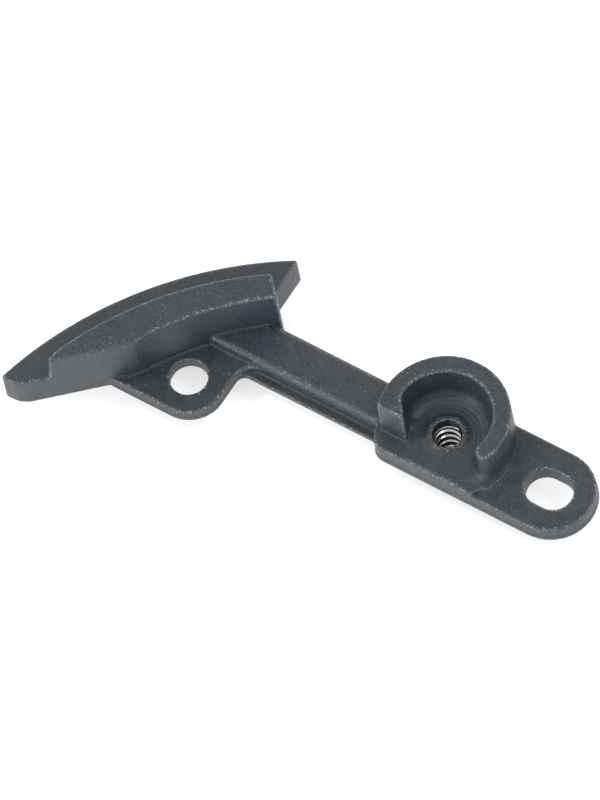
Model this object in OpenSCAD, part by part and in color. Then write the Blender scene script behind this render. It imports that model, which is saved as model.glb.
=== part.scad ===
// Shutter dog holdback lever: a moulded lever with a crescent stop head, an ear with a
// fixing hole, a ribbed arm, an open cup over a threaded hub, and a slotted tongue.
// The origin is on the threaded axis, in the plane of the lever's flat underside.
// +X runs along the arm to the tongue, and +Z points out of the cup.

/* [Base plate] */
// Thickness of the thin plate that all of the lever stands on
base_t = 1; // [0.8:0.1:2]
// How far the base plate stands out past the walls above it
base_step = 0.15; // [0.05:0.05:0.3]

/* [Tongue] */
// Full width of the tongue at its base
tongue_w = 15.6; // [13:0.2:16.4]
// Distance from the threaded axis to the tongue's rounded end
tongue_l = 28.05; // [26:0.1:38]
// Thickness of the tongue
tongue_t = 3.4; // [2.4:0.1:4]
// Distance from the threaded axis to the middle of the slot
slot_x = 19.85; // [18:0.1:28]
// Width of the slot
slot_w = 6.7; // [5:0.1:8]
// Length of the slot from end to end
slot_l = 8.5; // [8.1:0.1:11]

/* [Boss, hub and cup] */
// Radius of the round boss at the foot of the cup
boss_r = 12; // [11.6:0.05:13]
// How far the boss's centre is from the threaded axis, towards the arm
boss_dx = 0.3; // [0:0.05:0.6]
// How far the boss's centre is from the threaded axis, towards the open side
boss_dy = 0.5; // [0:0.05:1]
// Radius of the boss's rounded front corner, beside the arm
boss_corner_r = 2.5; // [0.5:0.1:3]
// Radius of the hollow corner between the arm and the boss
boss_notch_r = 1.5; // [0.5:0.1:2.5]
// Height of the boss, which is the floor of the cup
floor_z = 4.4; // [4.3:0.1:5.5]
// Height of the cup's rim above the underside
rim_z = 11.4; // [8:0.1:14]
// Radius of the cup outside, at the rim
cup_r = 11.35; // [10.5:0.05:11.5]
// Thickness of the cup's wall at the rim
cup_wall = 3.1; // [2:0.1:4]
// How much the wall thickens towards its foot, on its inner face
wall_draft = 0.5; // [0:0.1:0.7]
// Distance from the threaded axis to the cup's open side, at the rim
mouth_y = 3.85; // [2:0.1:4.5]
// Lean of the wall's two end faces, in degrees
mouth_lean = 4.5; // [0:0.5:8]
// How far the thick left end of the wall reaches into the cup
gate_pad = 1.9; // [0.5:0.1:2]
// Radius of the hub under the boss
hub_r = 5.2; // [5:0.1:6]
// How far the hub reaches below the underside
hub_h = 4.6; // [3:0.1:6]
// Thickness of the hub's closed end
hub_end = 0.8; // [0.6:0.1:1.5]

/* [Threaded insert] */
// Radius of the insert's barrel
insert_r = 3.6; // [3.4:0.1:4]
// Radius of the threaded hole at the crests of its thread
thread_r = 2.05; // [1.9:0.05:2.6]
// Radius of the mouth over the insert
mouth_r = 2.55; // [2.4:0.05:3]
// Depth from the floor of the cup down to the insert
mouth_depth = 1.8; // [0.6:0.1:2.5]
// Radius of the low collar round the mouth
collar_r = 3.2; // [3.1:0.05:4]
// Height of that collar above the floor
collar_h = 0.6; // [0.2:0.1:1.2]
// Depth of the groove round the insert's barrel, which the moulding grips
groove_depth = 0.4; // [0.2:0.1:0.6]
// Length of that groove
groove_l = 2; // [1:0.1:3]

/* [Arm] */
// Height of the arm's rib above the underside
arm_z = 4.7; // [4:0.1:6]
// Width of the rib
rib_w = 7.6; // [6:0.2:9]
// Radius of the rib's two long top edges
rib_round = 1; // [0.3:0.1:1.4]
// Distance from the arm's centre line to the front edge of its base plate
arm_lip_y = 5.5; // [4.8:0.1:7]

/* [Ear] */
// Thickness of the ear
ear_t = 2.6; // [2:0.1:3.5]
// Place of the ear's hole along the arm
ear_hole_x = -44.6; // [-46:0.1:-44]
// Place of the ear's hole across the arm
ear_hole_y = -10.95; // [-12:0.05:-10.5]
// Radius of the ear's hole
ear_hole_r = 3.25; // [2.5:0.05:4]
// Distance from the hole's centre to the ear's front and side edges
ear_edge = 6.8; // [6:0.05:7]
// Radius of the ear's corner
ear_corner_r = 6.2; // [4:0.1:6.6]
// Place of the ear's left corner, where it meets the end of the head
ear_left_x = -56.2; // [-57:0.1:-55]
// Radius of the inner corner between the ear and the arm, in the base plate
notch_r = 1.5; // [0.5:0.1:2.5]
// Radius of the same corner above the base plate, where the ear meets the rib
ear_fillet_r = 3.5; // [2:0.1:3.6]

/* [Head] */
// Radius of the head's outer face
head_r = 68.2; // [66:0.1:70]
// Width of the ledge behind the block
ledge_w = 6.05; // [4:0.05:8]
// Radius of the block's inner face
inner_r = 56.9; // [54:0.1:58]
// How far the inner face's centre is from the head's centre, along the arm
inner_dx = 1.8; // [0:0.1:3]
// How far the inner face's centre is from the head's centre, across the arm
inner_dy = 1.9; // [0:0.1:3]
// How much wider the block is at the ledge than at its top, on its outer face
block_draft = 0.35; // [0:0.05:1.5]
// Height of the ledge above the underside
ledge_z = 6.8; // [5:0.1:9]
// Height of the block above the underside
block_z = 13.5; // [12:0.1:18]
// Centre of the head's arcs along the arm
head_cx = -4.3; // [-5:0.1:-3]
// Centre of the head's arcs across the arm
head_cy = -43.7; // [-44:0.1:-43]
// Where the ledge stops, measured along the arm
head_right_x = -38.8; // [-40:0.1:-38.5]
// Where the block's right end meets the ledge's end, measured across the arm
block_end_y = 8.05; // [7:0.05:9]
// Slant of the block's right end to the arm, in degrees
block_end_slant = 46.5; // [40:0.5:60]
// Slant of the head's left end to the arm, in degrees
head_slant = 42.6; // [38:0.2:46]
// Place of the ledge's blunt left end across the arm
tip_y = -27.9; // [-28.5:0.1:-26]
// Radius of the rounded corner between the slant and the blunt end
tip_r = 5; // [1:0.1:6]

/* [Hidden] */
$fn = 96;
tiny = 0.01;
// Arcs that would only touch are made to cross by this much, so that they meet at a clear point
cross = 0.03;
far = 90;

tongue_r = tongue_w / 2;
arm_far_y = rib_w / 2;
block_r = head_r - ledge_w;
mid_wall_r = (block_r + inner_r) / 2;
cup_inner_r = cup_r - cup_wall;
insert_top = floor_z - mouth_depth;
insert_bottom = hub_end - hub_h;
ear_front_y = ear_hole_y - ear_edge;
ear_side_x = ear_hole_x + ear_edge;
corner_x = ear_side_x - ear_corner_r;
corner_y = ear_front_y + ear_corner_r;
head_c = [head_cx, head_cy];
ear_corner = [ear_left_x, ear_front_y];
collar_z = floor_z + collar_h;

// The corner between the slanted end and the blunt end, and the centre of its rounding
tip = [ear_left_x + (tip_y - ear_front_y) / tan(head_slant), tip_y];
tip_half = 90 - head_slant / 2;
tip_run = tip_r / tan(tip_half);
tip_c = tip + [-tip_run, tip_r];

// Everything on the front side of the slanted end
module slant_cut() {
    translate(ear_corner)
        rotate(head_slant)
            translate([-far, -far])
                square([2 * far, far]);
}

// What lies beyond the blunt end and its rounded corner
module tip_cut() {
    translate([-far, tip_y - far]) square([2 * far, far]);
    difference() {
        polygon([
            tip_c,
            [tip_c.x, tip_y - tiny],
            tip,
            tip + tip_run * [cos(head_slant), sin(head_slant)]
        ]);
        translate(tip_c) circle(r = tip_r);
    }
}

module disc(r) {
    translate(head_c) circle(r = r, $fn = 360);
}

// Plan of the block: a ring sector from the slanted end to the right end
module block_plan(r_out) {
    difference() {
        disc(r_out);
        translate([inner_dx, inner_dy]) disc(inner_r);
        slant_cut();
        translate([head_right_x, block_end_y])
            rotate(-block_end_slant)
                translate([-far, 0])
                    square([2 * far, far]);
        translate([head_cx, head_cy - far])
            square([far, 2 * far]);
        translate([head_cx - far, head_cy - far])
            square([2 * far, far]);
    }
}

// Plan of the whole head, with the ledge behind the block
module ledge_plan() {
    difference() {
        disc(head_r);
        disc(block_r - tiny);
        slant_cut();
        tip_cut();
        translate([head_right_x, -far])
            square([2 * far, 2 * far]);
        translate([head_cx - far, head_cy - far])
            square([2 * far, far]);
    }
    block_plan(block_r);
}

// The block above the ledge, whose outer face leans in towards the top
module block() {
    wide_r = block_r + block_draft;
    intersection() {
        linear_extrude(height = block_z) block_plan(wide_r);
        translate([head_cx, head_cy, ledge_z - tiny])
            cylinder(r1 = wide_r, r2 = block_r, h = block_z - ledge_z + tiny, $fn = 360);
    }
}

// Plan of the ear, with its edges drawn in by the given amount
module ear_plan(inset) {
    intersection() {
        disc(mid_wall_r);
        union() {
            translate([corner_x, corner_y]) circle(r = ear_corner_r - inset);
            polygon([
                [ear_left_x, ear_front_y + inset],
                [corner_x, ear_front_y + inset],
                [corner_x, corner_y],
                [ear_side_x - inset, corner_y],
                [ear_side_x - inset, 0],
                [head_right_x, arm_far_y],
                [ear_left_x, arm_far_y]
            ]);
        }
    }
}

// Plan of the material in the corner between the ear and the rib
module ear_fillet_plan() {
    translate([ear_side_x - base_step, -arm_far_y - ear_fillet_r])
        difference() {
            translate([-tiny, 0]) square([ear_fillet_r + tiny, ear_fillet_r + tiny]);
            translate([ear_fillet_r, 0]) circle(r = ear_fillet_r);
        }
}

// Plan of the arm's base plate, with the hollow corner beside the ear
module arm_plan() {
    translate([ear_hole_x, -arm_lip_y])
        square([-ear_hole_x, arm_lip_y + arm_far_y]);
    translate([ear_side_x, -arm_lip_y - notch_r])
        difference() {
            translate([-tiny, 0]) square([notch_r + tiny, notch_r + tiny]);
            translate([notch_r, 0]) circle(r = notch_r);
        }
}

// Plan of the round boss, cut straight along the front edge of the tongue
module boss_plan(inset) {
    r = boss_r - inset;
    front = tongue_r - inset;
    inner_y = front - boss_dy - boss_corner_r;
    corner_d = r - boss_corner_r + cross;
    corner_c = [-sqrt(corner_d * corner_d - inner_y * inner_y), -inner_y];
    difference() {
        intersection() {
            union() {
                circle(r = cup_r);
                translate([-boss_dx, -boss_dy]) circle(r = r);
            }
            translate([-far, -front]) square([2 * far, far]);
        }
        translate([-boss_dx, -boss_dy])
            difference() {
                polygon([
                    corner_c,
                    [corner_c.x, -far],
                    [-far, -far],
                    2 * r / corner_d * corner_c
                ]);
                translate(corner_c) circle(r = boss_corner_r);
            }
    }
}

// Plan of the material in the hollow corner between the arm and the boss
module boss_notch_plan() {
    notch_y = boss_dy - arm_lip_y - boss_notch_r;
    reach = boss_r + boss_notch_r - cross;
    notch_c = [-sqrt(reach * reach - notch_y * notch_y), notch_y];
    translate([-boss_dx, -boss_dy])
        difference() {
            polygon([
                notch_c,
                [notch_c.x, notch_y + boss_notch_r + tiny],
                [0, 0],
                boss_r / reach * notch_c
            ]);
            translate(notch_c) circle(r = boss_notch_r);
        }
}

module tongue_plan(inset) {
    end_x = tongue_l - tongue_r;
    translate([0, inset - tongue_r])
        square([end_x, 2 * (tongue_r - inset)]);
    translate([end_x, 0])
        circle(r = tongue_r - inset);
}

module slot_plan() {
    half_run = (slot_l - slot_w) / 2;
    translate([slot_x - half_run, 0]) circle(d = slot_w);
    translate([slot_x + half_run, 0]) circle(d = slot_w);
    translate([slot_x - half_run, -slot_w / 2])
        square([2 * half_run, slot_w]);
}

// The rib: a bar with two rounded long edges, drawn across the arm and swept along it
module rib() {
    flat_w = rib_w - 2 * rib_round;
    start_x = head_cx - mid_wall_r;
    end_x = cup_wall / 2 - cup_r;
    intersection() {
        translate([start_x, 0, 0])
            rotate([90, 0, 90])
                linear_extrude(height = end_x - start_x) {
                    translate([-rib_w / 2, 0]) square([rib_w, arm_z - rib_round]);
                    translate([-flat_w / 2, 0]) square([flat_w, arm_z]);
                    translate([-flat_w / 2, arm_z - rib_round]) circle(r = rib_round);
                    translate([flat_w / 2, arm_z - rib_round]) circle(r = rib_round);
                }
        translate([head_cx, head_cy, 0])
            cylinder(r = mid_wall_r, h = arm_z, $fn = 360);
    }
}

// The cup: a round wall, thicker at its foot, cut open on the front side
module cup() {
    end_r = cup_wall / 2;
    end_x = sqrt(pow(cup_r - end_r, 2) - pow(mouth_y - end_r, 2));
    wall_h = rim_z - floor_z;
    intersection() {
        union() {
            rotate_extrude()
                polygon([
                    [cup_inner_r - wall_draft, floor_z - tiny],
                    [cup_r, floor_z - tiny],
                    [cup_r, rim_z],
                    [cup_inner_r, rim_z]
                ]);
            gate_end();
        }
        union() {
            translate([0, -mouth_y, rim_z])
                rotate([-mouth_lean, 0, 0])
                    translate([-far, 0, -far])
                        cube([far, far, 2 * far]);
            translate([0, end_r - mouth_y, 0])
                cube([far, far, rim_z]);
        }
    }
    translate([end_x, end_r - mouth_y, floor_z - tiny])
        cylinder(r = end_r, h = wall_h + tiny);
}

// The thick left end of the wall, where the mould was filled
module gate_end() {
    pad_x = sqrt(pow(cup_inner_r, 2) - pow(mouth_y, 2));
    back = mouth_y - 2 * gate_pad;
    front = mouth_y + gate_pad;
    mid_r = cup_r - cup_wall / 2;
    translate([0, 0, floor_z - tiny])
        linear_extrude(height = rim_z - floor_z + tiny)
            polygon([
                [-sqrt(pow(mid_r, 2) - pow(front, 2)), -front],
                [gate_pad - pad_x, -front],
                [gate_pad - pad_x, -mouth_y],
                [-sqrt(pow(cup_inner_r, 2) - pow(back, 2)), -back],
                [-sqrt(pow(mid_r, 2) - pow(back, 2)), -back]
            ]);
}

// The lever: one moulding, with a pocket that holds the threaded insert
module lever_body() {
    color([0.27, 0.29, 0.32])
        difference() {
            union() {
                linear_extrude(height = base_t) {
                    ear_plan(0);
                    arm_plan();
                    boss_plan(0);
                    boss_notch_plan();
                    tongue_plan(0);
                    ledge_plan();
                }
                linear_extrude(height = ear_t) {
                    ear_plan(base_step);
                    ear_fillet_plan();
                }
                linear_extrude(height = tongue_t) tongue_plan(base_step);
                linear_extrude(height = floor_z) boss_plan(base_step);
                linear_extrude(height = ledge_z) ledge_plan();
                block();
                rib();
                cup();
                cylinder(r = collar_r, h = collar_z);
                translate([0, 0, -hub_h]) cylinder(r = hub_r, h = hub_h + tiny);
            }
            translate([ear_hole_x, ear_hole_y, -tiny])
                cylinder(r = ear_hole_r, h = ear_t + 2 * tiny);
            translate([0, 0, -tiny])
                linear_extrude(height = tongue_t + 2 * tiny) slot_plan();
            translate([0, 0, insert_top - tiny])
                cylinder(r = mouth_r, h = collar_z - insert_top + 2 * tiny);
            insert_barrel();
        }
}

// The insert's outside: a barrel with a groove round its middle
module insert_barrel() {
    length = insert_top - insert_bottom;
    middle = (insert_top + insert_bottom) / 2;
    difference() {
        translate([0, 0, insert_bottom]) cylinder(r = insert_r, h = length);
        translate([0, 0, middle - groove_l / 2])
            difference() {
                cylinder(r = insert_r + 1, h = groove_l);
                translate([0, 0, -tiny])
                    cylinder(r = insert_r - groove_depth, h = groove_l + 2 * tiny);
            }
    }
}

// The threaded insert, with its thread as a plain bore at the crests
module threaded_insert() {
    color([0.72, 0.72, 0.7])
        difference() {
            insert_barrel();
            translate([0, 0, insert_bottom - tiny])
                cylinder(r = thread_r, h = insert_top - insert_bottom + 2 * tiny);
        }
}

lever_body();
threaded_insert();
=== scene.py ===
# %% [markdown]
# # A shutter dog's holdback lever
# The lever is one dark moulding with a bright threaded insert in it. The exact CAD solids
# come in first as a fixed frame, and everything here is built in that same frame, in metres.
# The threaded axis is the Z axis, and the arm runs along X.

# %% Load the frame
import math

import bpy
import numpy as np
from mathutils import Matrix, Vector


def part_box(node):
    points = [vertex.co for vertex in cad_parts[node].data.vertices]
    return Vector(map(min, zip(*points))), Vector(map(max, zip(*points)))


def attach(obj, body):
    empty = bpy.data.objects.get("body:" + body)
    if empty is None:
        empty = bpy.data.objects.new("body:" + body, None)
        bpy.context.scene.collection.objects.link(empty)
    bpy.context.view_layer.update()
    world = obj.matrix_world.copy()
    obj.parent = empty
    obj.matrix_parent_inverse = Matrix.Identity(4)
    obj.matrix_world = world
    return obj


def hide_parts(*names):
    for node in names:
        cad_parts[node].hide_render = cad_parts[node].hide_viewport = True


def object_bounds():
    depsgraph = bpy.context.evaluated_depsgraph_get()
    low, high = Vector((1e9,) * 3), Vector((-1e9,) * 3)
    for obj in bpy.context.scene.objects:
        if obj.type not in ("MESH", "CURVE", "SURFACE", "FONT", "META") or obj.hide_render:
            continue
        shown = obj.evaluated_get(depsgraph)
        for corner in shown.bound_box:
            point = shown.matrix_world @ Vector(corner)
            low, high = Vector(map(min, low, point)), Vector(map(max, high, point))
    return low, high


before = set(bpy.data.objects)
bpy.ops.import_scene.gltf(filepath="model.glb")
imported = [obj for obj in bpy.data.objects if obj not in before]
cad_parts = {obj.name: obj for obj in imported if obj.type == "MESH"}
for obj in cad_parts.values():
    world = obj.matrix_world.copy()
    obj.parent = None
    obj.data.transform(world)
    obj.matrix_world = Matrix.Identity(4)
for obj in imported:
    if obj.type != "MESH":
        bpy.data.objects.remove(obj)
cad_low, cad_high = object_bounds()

import openvdb as vdb
from mathutils import Matrix, Vector

MM = 0.001
print("CAD box in mm:", [round(side / MM, 2) for side in cad_high - cad_low])

# %% [markdown]
# ## Two helpers
# Paint charts and web colours give sRGB hex values, but a shader wants linear light, so one
# function turns the first into the second. A second function adds a shader node, sets its
# properties, and either fills each socket or links it.


# %% Colour and node helpers
def linear(hex_colour):
    """A hex sRGB colour such as "#2b2d31" as linear red, green, blue and alpha."""
    channels = [int(hex_colour[i : i + 2], 16) / 255 for i in (1, 3, 5)]
    light = [c / 12.92 if c <= 0.04045 else ((c + 0.055) / 1.055) ** 2.4 for c in channels]
    return (*light, 1.0)


def add_node(tree, kind, sockets=None, **settings):
    """Adds a node. sockets maps an input's name or number to a value or to another output."""
    node = tree.nodes.new(kind)
    for name, value in settings.items():
        setattr(node, name, value)
    for name, value in (sockets or {}).items():
        if isinstance(value, bpy.types.NodeSocket):
            tree.links.new(value, node.inputs[name])
        else:
            node.inputs[name].default_value = value
    return node


print("linear light of mid grey:", round(linear("#808080")[0], 3))

# %% [markdown]
# ## The camera
# A small hard part is best shown with next to no perspective, so that straight edges stay
# parallel and sizes can be compared all over it. That takes a long lens from far away. The
# camera looks down from the front and the tongue's side, a little rolled, so that the arm
# runs down across the frame.

# %% Camera
CAMERA_AZIMUTH = 43.55
CAMERA_ELEVATION = 60.73
CAMERA_ROLL = 12.8
CAMERA_DISTANCE = 4000 * MM
CAMERA_CLIP = (1, 20)
FRAME_HEIGHT = 133.3 * MM
AIM = Vector((-26.86, -4.56, 0)) * MM


def set_up_camera():
    """A camera that looks at AIM, rolled, with FRAME_HEIGHT across the frame's long side."""
    turn, rise = math.radians(CAMERA_AZIMUTH), math.radians(CAMERA_ELEVATION)
    out = math.cos(rise)
    back = Vector((math.sin(turn) * out, -math.cos(turn) * out, math.sin(rise)))
    data = bpy.data.cameras.new("camera")
    data.lens = data.sensor_width * CAMERA_DISTANCE / FRAME_HEIGHT
    data.clip_start, data.clip_end = CAMERA_CLIP
    camera = bpy.data.objects.new("camera", data)
    bpy.context.scene.collection.objects.link(camera)
    level = (-back).to_track_quat("-Z", "Y").to_matrix()
    roll = Matrix.Rotation(math.radians(CAMERA_ROLL), 3, "Z")
    place = Matrix.Translation(AIM + back * CAMERA_DISTANCE)
    camera.matrix_world = place @ (level @ roll.inverted()).to_4x4()
    bpy.context.scene.camera = camera
    return camera


camera = set_up_camera()
print("lens in mm:", round(camera.data.lens))

# %% [markdown]
# ## Floor and light
# A small dark part like this is best lit on a light table inside a tent: light comes from
# all sides and from below, and shadows vanish. A pale world does most of that. A large lamp
# over the back and a low one in front add the soft shine on the long rounded edges. Two high
# lamps reach down into the threaded hole.

# %% Floor
FLOOR_HALF = 1.5


def make_floor():
    """A large square at the height of the lever's lowest point."""
    sides = ((-1, -1), (1, -1), (1, 1), (-1, 1))
    corners = [(x * FLOOR_HALF, y * FLOOR_HALF, cad_low.z) for x, y in sides]
    mesh = bpy.data.meshes.new("floor")
    mesh.from_pydata(corners, [], [(0, 1, 2, 3)])
    floor = bpy.data.objects.new("floor", mesh)
    bpy.context.scene.collection.objects.link(floor)
    return floor


FLOOR_GLOW = 0.5


def white_paper():
    """Matt white paper on a light table: no gloss, and a soft glow from below."""
    material = bpy.data.materials.new("white_paper")
    material.use_nodes = True
    shader = material.node_tree.nodes["Principled BSDF"]
    shader.inputs["Base Color"].default_value = linear("#f6f6f6")
    shader.inputs["Roughness"].default_value = 0.9
    shader.inputs["Specular IOR Level"].default_value = 0.1
    shader.inputs["Emission Color"].default_value = linear("#ffffff")
    shader.inputs["Emission Strength"].default_value = FLOOR_GLOW
    return material


floor = make_floor()
floor.data.materials.append(white_paper())
print("floor at z mm:", round(cad_low.z / MM, 2))

# %% Light
WORLD_STRENGTH = 0.7


def set_up_world():
    """An even white world, like the inside of a light tent."""
    world = bpy.data.worlds.new("light_tent")
    bpy.context.scene.world = world
    world.use_nodes = True
    backdrop = world.node_tree.nodes["Background"]
    backdrop.inputs["Color"].default_value = linear("#ffffff")
    backdrop.inputs["Strength"].default_value = WORLD_STRENGTH


def softbox(name, place, size, watts):
    """A square lamp at place, in metres, that faces the lever."""
    data = bpy.data.lights.new(name, "AREA")
    data.size = size
    data.energy = watts
    lamp = bpy.data.objects.new(name, data)
    bpy.context.scene.collection.objects.link(lamp)
    lamp.location = place
    lamp.rotation_euler = (AIM - Vector(place)).to_track_quat("-Z", "Y").to_euler()
    return lamp


set_up_world()
softbox("back_lamp", (-0.25, 0.55, 0.35), 0.4, 0.8)
softbox("front_lamp", (-0.27, -0.66, 0.27), 0.2, 1.5)
softbox("right_lamp", (0.32, 0.14, 0.61), 0.07, 0.45)
softbox("left_lamp", (-0.32, -0.14, 0.61), 0.07, 0.45)
bpy.context.scene.view_settings.view_transform = "Standard"
print("world strength:", WORLD_STRENGTH)

# %% [markdown]
# ## The lever's shape
# A moulded part has no sharp corner: plastic flows round small radii, and the mould's cutter
# leaves a fillet in each hollow corner. Bevels can do this on a simple block, but they tear
# where round walls meet flat plates at a slant. A distance field does it everywhere at once.
# Each point of a fine grid holds its distance to the solid's surface, negative inside.
# Growing the solid and shrinking it back fills hollow corners with a fillet. Shrinking it and
# growing it back rounds the outer corners. Both come straight from the frame's own solid.

# %% Grid for the distance field
VOXEL = 0.18
MARGIN = 1.5
FIELD_REACH = 4.0

body_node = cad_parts["lever_body"]
insert_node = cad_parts["threaded_insert"]
low, high = [np.array(corner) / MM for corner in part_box("lever_body")]
grid_start = np.floor((low - MARGIN) / VOXEL).astype(int)
grid_shape = tuple(np.ceil((high + MARGIN) / VOXEL).astype(int) - grid_start)
axes = [
    (start + np.arange(count, dtype=np.float32)) * VOXEL
    for start, count in zip(grid_start, grid_shape)
]
X, Y, Z = np.meshgrid(*axes, indexing="ij", sparse=True)
print("grid:", grid_shape)


# %% From a mesh to a field and back
def mesh_arrays(obj):
    """A mesh's points in millimetres and its triangles."""
    mesh = obj.data
    mesh.calc_loop_triangles()
    points = np.empty(len(mesh.vertices) * 3, np.float32)
    mesh.vertices.foreach_get("co", points)
    triangles = np.empty(len(mesh.loop_triangles) * 3, np.int32)
    mesh.loop_triangles.foreach_get("vertices", triangles)
    return points.reshape(-1, 3) / np.float32(MM), triangles.reshape(-1, 3).astype(np.uint32)


def to_field(points, reach, **faces):
    """The distance field of a closed mesh, true out to reach on both sides."""
    band = reach / VOXEL + 2
    transform = vdb.createLinearTransform(VOXEL)
    return vdb.FloatGrid.createLevelSetFromPolygons(
        points, transform=transform, exBandWidth=band, inBandWidth=band, **faces
    )


def read_out(field):
    """The field as a plain array over the grid."""
    values = np.empty(grid_shape, np.float32)
    field.copyToArray(values, ijk=tuple(int(i) for i in grid_start))
    return values


def to_grid(values):
    """An array over the grid as a field that can be meshed."""
    field = vdb.FloatGrid(float(values.max()))
    field.transform = vdb.createLinearTransform(VOXEL)
    field.copyFromArray(values, ijk=tuple(int(i) for i in grid_start))
    return field


points, triangles = mesh_arrays(body_node)
raw = read_out(to_field(points, FIELD_REACH, triangles=triangles))
print("deepest inside in mm:", round(float(raw.min()), 2))


# %% Plain shapes as fields
def upright(radius, bottom, top, x=0.0, y=0.0):
    """Distance to an upright cylinder."""
    aside = np.hypot(X - x, Y - y) - radius
    along = np.maximum(bottom - Z, Z - top)
    outside = np.hypot(np.maximum(aside, 0), np.maximum(along, 0))
    return outside + np.minimum(np.maximum(aside, along), 0)


def carve(solid, tool, radius):
    """The solid less the tool, with the edge between them rounded to radius."""
    hollow = -tool
    near = np.hypot(np.maximum(radius + solid, 0), np.maximum(radius + hollow, 0))
    return np.minimum(-radius, np.maximum(solid, hollow)) + near


def ramp(values, start, end):
    """0 at start, 1 at end, and smooth between them."""
    t = np.clip((values - start) / (end - start), 0, 1)
    return t * t * (3 - 2 * t)


# %% [markdown]
# ## Filling the insert's pocket
# The solid has a pocket for the metal insert. Its thin lip would be lost when corners are
# rounded, so the pocket and the mouth above it are plugged first, and are cut again at the end.

# %% Plug the pocket
insert_low, insert_high = [np.array(corner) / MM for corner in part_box("threaded_insert")]
INSERT_R = float(insert_high[0])
MOUTH_R = 2.55
COLLAR_TOP = 5.0
PLUG_SPARE = 0.3
plug = np.minimum(
    upright(INSERT_R + PLUG_SPARE, insert_low[2] - PLUG_SPARE, insert_high[2] + PLUG_SPARE),
    upright(MOUTH_R + PLUG_SPARE, insert_low[2], COLLAR_TOP),
)
plugged = to_grid(np.minimum(raw, plug))
print("pocket from", round(insert_low[2], 2), "to", round(insert_high[2], 2))


# %% Rounded copies of the solid
def rounded(fillet, edge):
    """The lever's field with hollow corners filled to fillet and outer ones rounded to edge."""
    grown = plugged
    if fillet:
        points, quads = plugged.convertToQuads(isovalue=fillet)
        grown = to_field(points, fillet + edge + 1, quads=quads)
    points, quads = grown.convertToQuads(isovalue=-(fillet + edge))
    shrunk = to_field(points, edge + 3, quads=quads)
    return read_out(shrunk) - np.float32(edge)


crisp = rounded(fillet=0, edge=0.2)
soft = rounded(fillet=2.2, edge=0.3)
bold = rounded(fillet=0.5, edge=1.5)
print("crisp, soft and bold fields ready")

# %% [markdown]
# ## Where the lever is crisp and where it is soft
# The radii aren't the same all over. The foot of the cup and its right end run into the floor
# with a wide fillet, but the thick left end meets it sharply. The head's block turns softly
# into its slanted end. Each copy is blended in over its own region.

# %% Blend the copies
FLOOR_Z = 4.4
EAR_TOP = 2.6
LEDGE_Z = 6.8
BLOCK_Z = 13.5

# Each pair below is where a blend starts and where it is complete
CUP_INSIDE = (9.6, 10.6)
RIGHT_END = (9.7, -2.3)
RIGHT_END_REACH = (3.0, 4.5)
OPEN_SIDE_X = (-5.0, -3.0)
OPEN_SIDE_Y = (-3.4, -1.4)
inside = 1 - ramp(np.hypot(X, Y), *CUP_INSIDE)
right_end = 1 - ramp(np.hypot(X - RIGHT_END[0], Y - RIGHT_END[1]), *RIGHT_END_REACH)
left_foot = (1 - ramp(X, *OPEN_SIDE_X)) * (1 - ramp(Y, *OPEN_SIDE_Y))
off_floor = ramp(Z, FLOOR_Z - 1.2, FLOOR_Z - 0.4)
in_cup = np.maximum(inside, right_end) * off_floor * (1 - left_foot)
shape = crisp + (soft - crisp) * in_cup

LEFT_TURN = (-55.3, -17.0)
LEFT_TURN_REACH = (2.5, 5)
TURN_TOP = (11, 12.6)
left_turn = 1 - ramp(np.hypot(X - LEFT_TURN[0], Y - LEFT_TURN[1]), *LEFT_TURN_REACH)
left_turn = left_turn * ramp(Z, EAR_TOP, EAR_TOP + 1.5) * (1 - ramp(Z, *TURN_TOP))
shape = shape + (bold - shape) * left_turn

# %% [markdown]
# ## The slanted end's top edge
# The block's slanted end meets its top in a larger round than the rest. A quarter of space,
# bounded by the top plane and the slanted plane, gets a rounded corner and cuts the block. It
# would reach through the arm and the ear too, so it only works on the head, above the ledge.

# %% Round the slanted end's top edge
SLANT_START = (-56.2, -17.75)
SLANT_ANGLE = math.radians(42.6)
SLANT_EDGE_R = 1.6
HEAD_END_X = -30
along_y = (Y - SLANT_START[1]) * math.cos(SLANT_ANGLE)
along_x = (X - SLANT_START[0]) * math.sin(SLANT_ANGLE)
above, beyond = Z - BLOCK_Z, -(along_y - along_x)
corner = np.hypot(np.maximum(SLANT_EDGE_R + above, 0), np.maximum(SLANT_EDGE_R + beyond, 0))
slant_edge = np.minimum(np.maximum(above, beyond), -SLANT_EDGE_R) + corner
on_block = (Z > LEDGE_Z + 1) & (X < HEAD_END_X)
shape = np.where(on_block, np.maximum(shape, slant_edge), shape)
print("blended")

# %% [markdown]
# ## The threaded mouth
# The insert's mouth is cut last, with a small round lip, and below it the pocket that holds
# the insert.

# %% Cut the mouth and the pocket
LIP_R = 0.2
shape = carve(shape, upright(MOUTH_R, insert_high[2] - 0.5, COLLAR_TOP + 3), LIP_R)
shape = np.maximum(shape, -upright(INSERT_R, insert_low[2], insert_high[2]))

# %% Mesh the lever
def make_mesh(name, points, faces):
    """A smooth-shaded object from points in millimetres."""
    mesh = bpy.data.meshes.new(name)
    mesh.from_pydata((points * MM).tolist(), [], faces.tolist())
    mesh.update()
    mesh.shade_smooth()
    obj = bpy.data.objects.new(name, mesh)
    bpy.context.scene.collection.objects.link(obj)
    return obj


def facing_out(points, faces):
    """The faces turned so that the mesh holds a positive volume."""
    corners = points[faces]
    a, b, c = corners[:, 0], corners[:, 1], corners[:, 2]
    volume = np.einsum("ij,ij->i", a, np.cross(b, c)).sum()
    return faces if volume > 0 else faces[:, ::-1]


points, quads = to_grid(shape.astype(np.float32)).convertToQuads(isovalue=0.0)
lever = make_mesh("lever", points, facing_out(points, quads))
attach(lever, "root")
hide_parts("lever_body")
print("lever faces:", len(quads))

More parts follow.
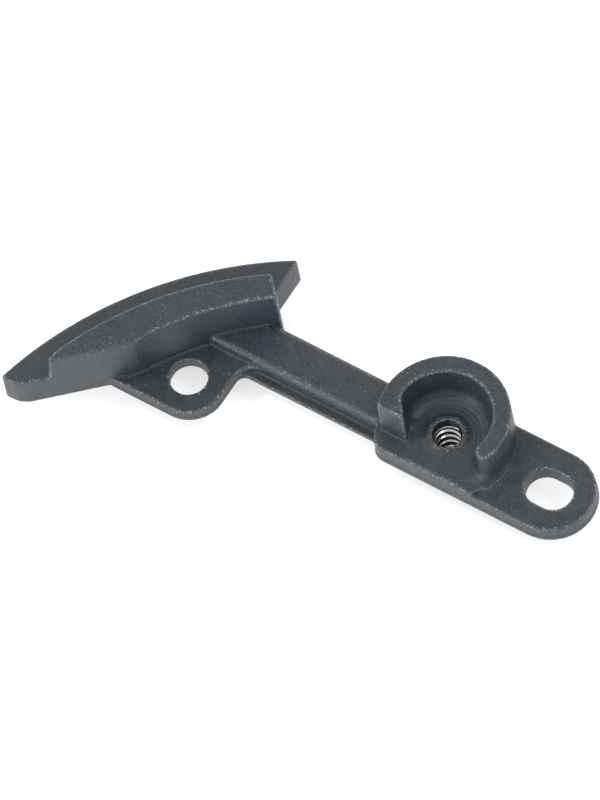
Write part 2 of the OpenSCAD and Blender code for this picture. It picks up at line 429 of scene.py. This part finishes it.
# %% [markdown]
# ## Painted highlights and wear on the edges
# The outer corners are painted lighter, partly as wear from handling and partly as a painted
# highlight, the shine that rounded edges catch. How sharply a surface bends is easy to read
# from a distance field: it is the field's Laplacian. It is stored on the mesh, so that the
# material can find the corners. Two more marks are stored with it: a small rough ring on the
# rim, where the mould was filled, and the faint rings that turning left on the cup's floor.

# %% Store how sharply the surface bends
def bend_at(points):
    """Curvature of the field near each point, positive on outer corners, per millimetre."""
    laplacian = -6 * shape[1:-1, 1:-1, 1:-1]
    for axis in range(3):
        for step in (0, 2):
            window = [slice(1, -1)] * 3
            window[axis] = slice(step, shape.shape[axis] - 2 + step)
            laplacian = laplacian + shape[tuple(window)]
    laplacian = laplacian / VOXEL**2
    cell = np.rint(points / VOXEL).astype(int) - grid_start - 1
    cell = np.clip(cell, 0, np.array(laplacian.shape) - 1)
    return laplacian[cell[:, 0], cell[:, 1], cell[:, 2]]


FULL_BEND = 2.5
SCAR = (-7.1, -3.2)
SCAR_R = 0.9
SCAR_STRENGTH = 0.8
RIM_Z = 11.4
x, y, z = points.T
bend = np.clip(bend_at(points) / FULL_BEND, -1, 1).astype(np.float32)
off_scar = np.abs(np.hypot(x - SCAR[0], y - SCAR[1]) - SCAR_R)
scar = (1 - ramp(off_scar, 0.05, 0.3)) * (z > RIM_Z - 0.3)
bend = np.maximum(bend, SCAR_STRENGTH * scar)

# The rings fade in and out between the two numbers of each pair
RING_STEP = 0.75
RINGS_FROM = (3.6, 4.4)
RINGS_TO = (7, 7.8)
RINGS_BACK = (-1, 2)
out_from_axis = np.hypot(x, y)
turned = 0.5 + 0.5 * np.cos(2 * math.pi * out_from_axis / RING_STEP)
turned *= ramp(out_from_axis, *RINGS_FROM) * (1 - ramp(out_from_axis, *RINGS_TO))
turned *= ramp(y, *RINGS_BACK) * (z > FLOOR_Z - 0.3) * (z < FLOOR_Z + 2)
for name, values in (("bend", bend), ("turned", turned)):
    attribute = lever.data.attributes.new(name, "FLOAT", "POINT")
    attribute.data.foreach_set("value", values.astype(np.float32))
print("share of the surface on outer corners:", round(float((bend > 0.3).mean()), 3))

# %% [markdown]
# ## The threaded insert
# A turned metal barrel is moulded into the hub. It has a coarse right-hand thread inside and a
# groove outside that locks it in. It is a surface of rows round the axis: the outer rows are
# plain circles, and the inner rows follow a helix.

# %% Insert
PITCH = 1.8
CREST_R = 2.05
ROOT_R = 2.45
CREST_SHARE = 0.35
FLANK_SHARE = 0.2
GROOVE_DEPTH = 0.4
GROOVE_HALF = 1.0
CHAMFER = 0.2
TURN_STEPS = 96
ROWS_PER_TURN = 36


def thread_radius(height, angle):
    """Radius of the inner wall: flat crests and roots, and steep flanks between them."""
    phase = ((height - PITCH * angle / (2 * math.pi)) / PITCH) % 1
    from_crest = np.abs(phase - 0.5) * 2
    flank = np.clip((from_crest - CREST_SHARE) / FLANK_SHARE, 0, 1)
    return CREST_R + (ROOT_R - CREST_R) * flank


def ring(radius, z):
    """A row of points round the axis. The radius is one number, or one for each point."""
    angles = np.arange(TURN_STEPS) * 2 * math.pi / TURN_STEPS
    heights = np.full(TURN_STEPS, z)
    return np.stack([radius * np.cos(angles), radius * np.sin(angles), heights], 1)


def insert_rows():
    """Rows of points from the top, down the outside, and up the thread inside."""
    bottom, top = insert_low[2], insert_high[2]
    middle = (bottom + top) / 2
    outer = [
        (INSERT_R - CHAMFER, top),
        (INSERT_R, top - CHAMFER),
        (INSERT_R, middle + GROOVE_HALF),
        (INSERT_R - GROOVE_DEPTH, middle + GROOVE_HALF),
        (INSERT_R - GROOVE_DEPTH, middle - GROOVE_HALF),
        (INSERT_R, middle - GROOVE_HALF),
        (INSERT_R, bottom),
    ]
    angles = np.arange(TURN_STEPS) * 2 * math.pi / TURN_STEPS
    count = int(round((top - bottom) / PITCH * ROWS_PER_TURN))
    heights = np.linspace(bottom, top, count + 1)
    inner = [ring(thread_radius(z, angles), z) for z in heights]
    return [ring(r, z) for r, z in outer] + inner


def close_rows(count):
    """Quads between each row and the next, with the last row joined to the first."""
    faces = []
    for row in range(count):
        this, following = row * TURN_STEPS, (row + 1) % count * TURN_STEPS
        for step in range(TURN_STEPS):
            ahead = (step + 1) % TURN_STEPS
            faces.append((this + step, following + step, following + ahead, this + ahead))
    return np.array(faces)


rows = insert_rows()
points = np.concatenate(rows)
insert = make_mesh("insert", points, facing_out(points, close_rows(len(rows))))
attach(insert, "root")
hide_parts("threaded_insert")
print("insert rows:", len(rows))

# %% [markdown]
# ## Glass-filled nylon
# The lever is nylon with short glass fibre, dyed anthracite. The mould's spark-eroded skin
# gives a fine grain that breaks up the shine. Fibres near the skin show as faint pale specks.
# The outer corners are painted lighter, partly as wear and partly as a painted highlight, and
# more pale specks gather there as painted glints.

# %% Nylon material
GRAIN_MM = 0.4
MOTTLE_MM = 3.0
SPECK_MM = 0.34
GRAIN_DEPTH_MM = 0.06
NYLON_IOR = 1.53
# Each pattern: its name, the size of one cell, and its detail
PATTERNS = (("mottle", MOTTLE_MM, 5.0), ("grain", GRAIN_MM, 3.0), ("specks", SPECK_MM, 1.0))
# Each level: its name, what it is read from, the range it has there, and the range it gets
LEVELS = (
    ("cloud", "mottle", 0.36, 0.64, 0.0, 1.0),
    ("dust", "grain", 0.42, 0.72, 0.0, 0.5),
    # Wear and painted glints on the outer corners: this level pushes more pale specks there
    ("rub_and_glint", "bend", 0.1, 0.7, 0.0, 0.15),
    ("rings", "turned", 0.0, 1.0, 0.0, 0.18),
    # Lighter outer corners: wear, and a painted highlight where the edges are rounded
    ("edge", "bend", 0.15, 0.9, 0.0, 0.3),
    ("rough", "mottle", 0.3, 0.7, 0.42, 0.5),
)
# Each tone laid over the base: the level that it follows, and its colour
BASE_TONE = "#2c343d"
TONES = (
    ("cloud", "#343b42"),
    ("dust", "#4f565e"),
    ("rings", "#7b828a"),
    # Outer corners painted lighter: wear, and a painted highlight on the rounded edges
    ("edge", "#717880"),
    # Pale specks of fibre, with painted glints added along the outer corners
    ("fibres_and_glints", "#a0a5a9"),
)


def per_metre(size_mm):
    """Texture scale at which one cell of a pattern measures size_mm."""
    return 1 / (size_mm * MM)


def glass_filled_nylon():
    """Dark nylon with a fine grain, pale specks of fibre, and wear and a painted highlight on
    its corners.
    """
    material = bpy.data.materials.new("glass_filled_nylon")
    material.use_nodes = True
    tree = material.node_tree
    shader = tree.nodes["Principled BSDF"]
    place = add_node(tree, "ShaderNodeTexCoord").outputs["Object"]
    field = {}
    for name, size_mm, detail in PATTERNS:
        sockets = {"Vector": place, "Scale": per_metre(size_mm), "Detail": detail}
        field[name] = add_node(tree, "ShaderNodeTexNoise", sockets).outputs["Fac"]
    for name in ("bend", "turned"):
        field[name] = add_node(tree, "ShaderNodeAttribute", attribute_name=name).outputs["Fac"]
    for name, source, low_in, high_in, low_out, high_out in LEVELS:
        sockets = {"Value": field[source], "From Min": low_in, "From Max": high_in}
        sockets |= {"To Min": low_out, "To Max": high_out}
        field[name] = add_node(tree, "ShaderNodeMapRange", sockets).outputs["Result"]
    # Specks plus the corner level, so that painted glints and wear gather on the outer corners
    sockets = {0: field["specks"], 1: field["rub_and_glint"]}
    specks_and_edge_glints = add_node(tree, "ShaderNodeMath", sockets, operation="ADD").outputs[0]
    sockets = {"Value": specks_and_edge_glints, "From Min": 0.7, "From Max": 0.8, "To Max": 0.7}
    field["fibres_and_glints"] = add_node(tree, "ShaderNodeMapRange", sockets).outputs["Result"]
    tone = linear(BASE_TONE)
    for factor, hex_colour in TONES:
        sockets = {"Factor": field[factor], "A": tone, "B": linear(hex_colour)}
        tone = add_node(tree, "ShaderNodeMix", sockets, data_type="RGBA").outputs["Result"]
    tree.links.new(tone, shader.inputs["Base Color"])
    tree.links.new(field["rough"], shader.inputs["Roughness"])
    sockets = {"Height": field["grain"], "Strength": 0.4, "Distance": GRAIN_DEPTH_MM * MM}
    bump = add_node(tree, "ShaderNodeBump", sockets)
    tree.links.new(bump.outputs["Normal"], shader.inputs["Normal"])
    shader.inputs["IOR"].default_value = NYLON_IOR
    return material


lever.data.materials.append(glass_filled_nylon())
print("nylon grain in mm:", GRAIN_MM)

# %% [markdown]
# ## Nickel-plated brass
# The insert is cut from brass rod and nickel plated. The thread is bright, with fine rings
# left by the tap.

# %% Plated insert material
TOOL_MARK_MM = 0.3


def nickel_plated_brass():
    """Bright metal with the tap's fine marks in its tone and its roughness."""
    material = bpy.data.materials.new("nickel_plated_brass")
    material.use_nodes = True
    tree = material.node_tree
    shader = tree.nodes["Principled BSDF"]
    place = add_node(tree, "ShaderNodeTexCoord").outputs["Object"]
    sockets = {"Vector": place, "Scale": per_metre(TOOL_MARK_MM), "Detail": 2.0}
    marks = add_node(tree, "ShaderNodeTexNoise", sockets).outputs["Fac"]
    sockets = {"Factor": marks, "A": linear("#c4c5c4"), "B": linear("#e4e5e4")}
    tone = add_node(tree, "ShaderNodeMix", sockets, data_type="RGBA").outputs["Result"]
    tree.links.new(tone, shader.inputs["Base Color"])
    sockets = {"Value": marks, "From Min": 0.3, "From Max": 0.7, "To Min": 0.12, "To Max": 0.2}
    rough = add_node(tree, "ShaderNodeMapRange", sockets).outputs["Result"]
    tree.links.new(rough, shader.inputs["Roughness"])
    shader.inputs["Metallic"].default_value = 1.0
    return material


insert.data.materials.append(nickel_plated_brass())
